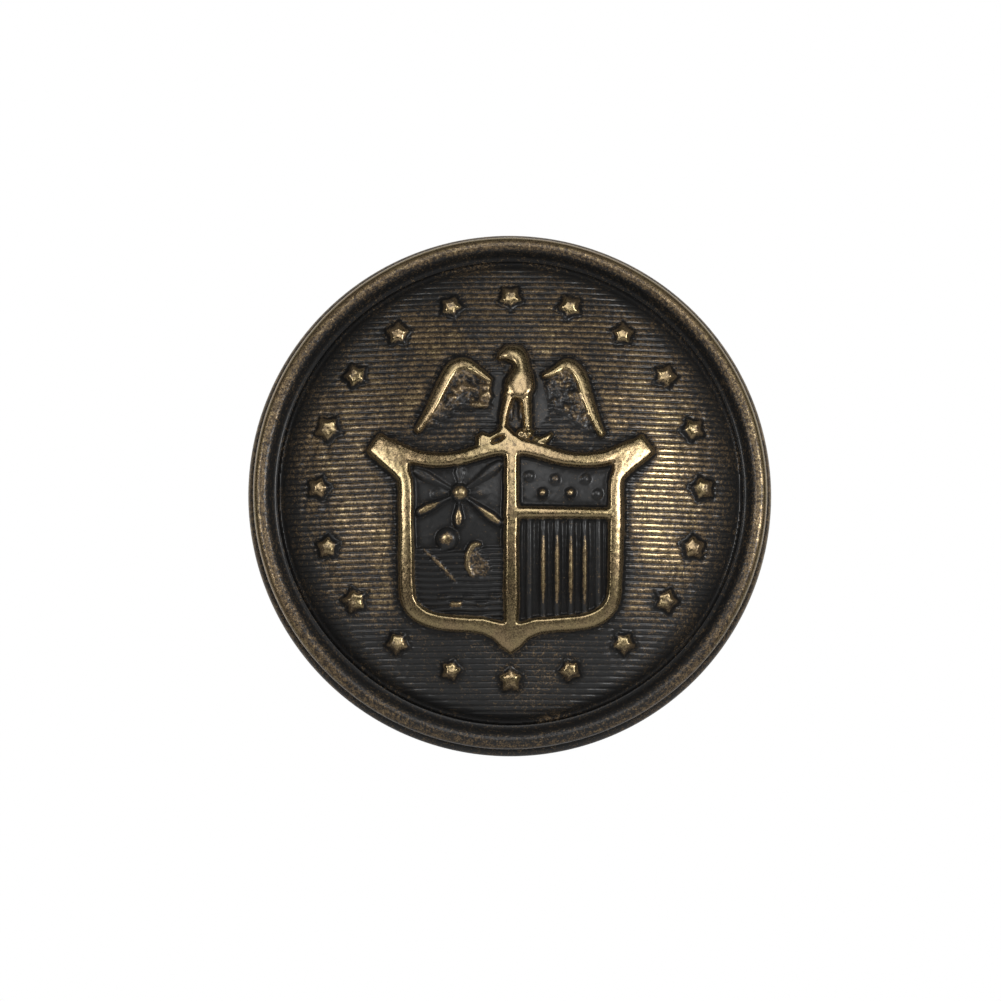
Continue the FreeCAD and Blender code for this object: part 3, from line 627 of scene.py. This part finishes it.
def aged_metal(name, light, dark, shine, grain_mm=0.5, stretch=None, bump_mm=0.006, metallic=1.0):
    """Tarnished metal, or card when metallic is 0, with working marks; shine is its range of roughness."""
    n = Nodes(name)
    marks = n.noise(grain_mm, 4.0, 0.6, stretch)
    stain = n.noise(4.0, 5.0, 0.7)
    fine = n.noise(0.14, 3.0, 0.7)
    tarnish = n.ramp(n.math("ADD", stain, n.math("MULTIPLY", n.math("SUBTRACT", fine, 0.5), 0.6)), 0.3, 0.8)
    colour = n.mix(tarnish, light, dark)
    colour = n.mix(n.ramp(marks, 0.35, 0.65), colour, n.mix(0.35, colour, dark))
    n.link(colour, n.shader.inputs["Base Color"])
    n.shader.inputs["Metallic"].default_value = metallic
    dulled = n.math("ADD", n.math("MULTIPLY", tarnish, 0.6), n.math("MULTIPLY", marks, 0.4))
    n.link(n.ramp(dulled, 0.2, 0.8, *shine), n.shader.inputs["Roughness"])
    first = n.bump(marks, bump_mm, 0.5)
    n.link(n.bump(fine, 0.006, 0.4, first), n.shader.inputs["Normal"])
    return n.material


# ---- front shell --------------------------------------------------------------------------------
co, faces, wears_and_painted_light, hollow_black_and_shade_rows = front_mesh()
shell = mesh_object("front_shell_struck", co, faces)
attribute(shell, "wear_and_painted_light", wears_and_painted_light)
attribute(shell, "deep", hollow_black_and_shade_rows)
shell.data.materials.append(antique_brass("antique_brass"))
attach(shell, "badge")
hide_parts("front_shell")

# ---- screw post ---------------------------------------------------------------------------------
POST_R, THREAD_START, THREAD_END, THREAD_PITCH, THREAD_DEPTH = 1.5, 1.2, 8.7, 0.5, 0.27
POST_SIDES, POST_STEPS = 72, 16
HEAD_TOP, HEAD_UNDER, HEAD_R, HEAD_BEVEL, SHANK_R = -1.35, -0.85, 3.2, 0.05, 1.75
TIP_Y, TIP_R, CENTRE_R = 9.0, 1.2, 0.02


def thread_cut(y, turn):
    """How deep the right-hand thread is cut at depth y and angle turn, run out softly at both ends."""
    phase = np.abs(((y - THREAD_START) / THREAD_PITCH - turn / (2 * np.pi)) % 1 - 0.5) * 2
    runout = np.clip(np.minimum(y - THREAD_START, THREAD_END + 0.3 - y) / 0.35, 0, 1)
    return THREAD_DEPTH * np.clip((phase - 0.2) / 0.6, 0, 1) * runout


def post_mesh():
    shape = [(HEAD_TOP, CENTRE_R), (HEAD_TOP, HEAD_R - HEAD_BEVEL), (HEAD_TOP + HEAD_BEVEL, HEAD_R),
             (HEAD_UNDER - HEAD_BEVEL, HEAD_R), (HEAD_UNDER, HEAD_R - HEAD_BEVEL), (HEAD_UNDER, SHANK_R),
             (0, SHANK_R), (0, POST_R)]
    steps = int(round((THREAD_END - THREAD_START) / THREAD_PITCH * POST_STEPS))
    shape += [(THREAD_START + (THREAD_END - THREAD_START) * t / steps, POST_R) for t in range(steps + 1)]
    shape += [(8.85, 1.35), (TIP_Y, TIP_R), (TIP_Y, CENTRE_R)]
    turn = np.arange(POST_SIDES) * 2 * np.pi / POST_SIDES
    rings = []
    for y, r in shape:
        cut = thread_cut(y, turn) if y >= THREAD_START and r > 0.1 else 0
        rr = np.minimum(r, POST_R - cut) if r <= POST_R else np.full(POST_SIDES, r)
        rings.append(np.stack([rr * np.sin(turn), np.full(POST_SIDES, y), rr * np.cos(turn)], 1))
    here = np.arange(POST_SIDES)
    faces = [np.stack([k * POST_SIDES + here, k * POST_SIDES + np.roll(here, -1),
                       (k + 1) * POST_SIDES + np.roll(here, -1), (k + 1) * POST_SIDES + here], 1)
             for k in range(len(rings) - 1)]
    return np.concatenate(rings), np.concatenate(faces)


BRASS, TARNISH = (0.55, 0.42, 0.2, 1), (0.22, 0.15, 0.07, 1)
STEEL, STEEL_TARNISH = (0.55, 0.55, 0.53, 1), (0.25, 0.24, 0.22, 1)
GREY_TIN, SOLDER_TARNISH = (0.5, 0.5, 0.49, 1), (0.2, 0.2, 0.19, 1)
node_materials = {
    "back_plate": aged_metal("back_brass", (0.42, 0.32, 0.16, 1), (0.17, 0.125, 0.07, 1), (0.3, 0.5), 0.3,
                             (1, 1, 0.08)),
    "screw_post": aged_metal("post_brass", BRASS, TARNISH, (0.25, 0.45), 0.15, (1, 8, 1)),
    "spur_pin_left": aged_metal("spur_brass", BRASS, TARNISH, (0.25, 0.45), 0.2),
    "clamp_plate": aged_metal("clamp_brass", (0.5, 0.385, 0.19, 1), (0.2, 0.14, 0.07, 1), (0.25, 0.45), 0.3,
                              (0.08, 1, 1)),
    "nut_disc": aged_metal("nut_brass", BRASS, TARNISH, (0.22, 0.42), 0.25),
    "nut_bush": aged_metal("bush_steel", STEEL, STEEL_TARNISH, (0.25, 0.45), 0.15),
    "post_solder": aged_metal("solder", GREY_TIN, SOLDER_TARNISH, (0.35, 0.55), 0.4, None, 0.03),
    "dome_filler": aged_metal("tinned_steel", GREY_TIN, (0.3, 0.28, 0.25, 1), (0.35, 0.55)),
    "packing_ring": aged_metal("card", (0.4, 0.32, 0.21, 1), (0.26, 0.2, 0.13, 1), (0.8, 0.95), 0.3, None,
                               0.04, 0.0),
}
node_materials["spur_pin_right"] = node_materials["spur_pin_left"]
node_materials["spur_solder"] = node_materials["post_solder"]
for name, material in node_materials.items():
    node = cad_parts[name]
    node.data.materials.clear()
    node.data.materials.append(material)
    bevel = node.modifiers.new("soft_edges", "BEVEL")
    bevel.width = 0.05 * MM
    bevel.segments = 2
    bevel.limit_method = "ANGLE"
    bevel.angle_limit = math.radians(35)

post = mesh_object("threaded_post", *post_mesh(), 30)
post.data.materials.append(node_materials["screw_post"])
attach(post, "badge")
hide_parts("screw_post")

# ---- floor, light and camera --------------------------------------------------------------------
FLOOR_Z, FLOOR_R = -0.1, 0.16
bpy.ops.mesh.primitive_circle_add(vertices=96, radius=FLOOR_R, fill_type="NGON", location=(0, 0, FLOOR_Z))
floor = bpy.context.object
floor.name = "floor"
paper = Nodes("pale_paper")
shade = paper.mix(paper.noise(1.2), (0.8, 0.8, 0.8, 1), (0.84, 0.84, 0.84, 1))
paper.link(shade, paper.shader.inputs["Base Color"])
paper.shader.inputs["Roughness"].default_value = 0.9
floor.data.materials.append(paper.material)

world = bpy.data.worlds.new("studio")
bpy.context.scene.world = world
world.use_nodes = True
wt = world.node_tree
background = wt.nodes["Background"]
coords = wt.nodes.new("ShaderNodeTexCoord")
split = wt.nodes.new("ShaderNodeSeparateXYZ")
wt.links.new(coords.outputs["Generated"], split.inputs[0])
behind = wt.nodes.new("ShaderNodeMapRange")
behind.interpolation_type = "SMOOTHSTEP"
for key, v in (("From Min", 0.05), ("From Max", 0.5), ("To Min", 0.02), ("To Max", 0.75)):
    behind.inputs[key].default_value = v
wt.links.new(split.outputs["Y"], behind.inputs["Value"])
light_path = wt.nodes.new("ShaderNodeLightPath")
either = wt.nodes.new("ShaderNodeMath")
either.operation = "MAXIMUM"
wt.links.new(behind.outputs[0], either.inputs[0])
wt.links.new(light_path.outputs["Is Camera Ray"], either.inputs[1])
wt.links.new(either.outputs[0], background.inputs["Strength"])
background.inputs["Color"].default_value = (1, 1, 1, 1)


def softbox(name, azimuth, elevation, distance, width, height, power):
    """A rectangular light aimed at the badge; azimuth 0 is straight in front, positive to the right."""
    lamp = bpy.data.lights.new(name, "AREA")
    lamp.shape = "RECTANGLE"
    lamp.size, lamp.size_y = width, height
    lamp.energy = power
    obj = bpy.data.objects.new(name, lamp)
    a, e = math.radians(azimuth), math.radians(elevation)
    back = Vector((math.sin(a) * math.cos(e), -math.cos(a) * math.cos(e), math.sin(e)))
    obj.location = back * distance
    obj.rotation_euler = (-back).to_track_quat("-Z", "Y").to_euler()
    obj.visible_camera = False
    bpy.context.scene.collection.objects.link(obj)


softbox("softbox_right", 40, 4, 0.5, 0.11, 0.18, 1.35)
softbox("softbox_left", -41, 4, 0.5, 0.11, 0.18, 0.75)
softbox("softbox_front", 2, 22, 0.5, 0.2, 0.34, 0.8)

camera_data = bpy.data.cameras.new("camera")
camera = bpy.data.objects.new("camera", camera_data)
bpy.context.scene.collection.objects.link(camera)
bpy.context.scene.camera = camera
LENS, SENSOR, FRAME_MM = 200.0, 36.0, 48.5
CAMERA_AZ, CAMERA_EL = math.radians(-0.6), math.radians(-5.6)
camera_data.lens, camera_data.sensor_width = LENS, SENSOR
target = Vector((-0.00046, -0.0012, -0.00033))
away = Vector((math.sin(CAMERA_AZ) * math.cos(CAMERA_EL), -math.cos(CAMERA_AZ) * math.cos(CAMERA_EL),
               math.sin(CAMERA_EL)))
camera.location = target + away * (FRAME_MM * MM * LENS / SENSOR)
camera.rotation_euler = (-away).to_track_quat("-Z", "Y").to_euler()
camera_data.clip_start, camera_data.clip_end = 0.01, 10
bpy.context.scene.view_settings.view_transform = "Standard"
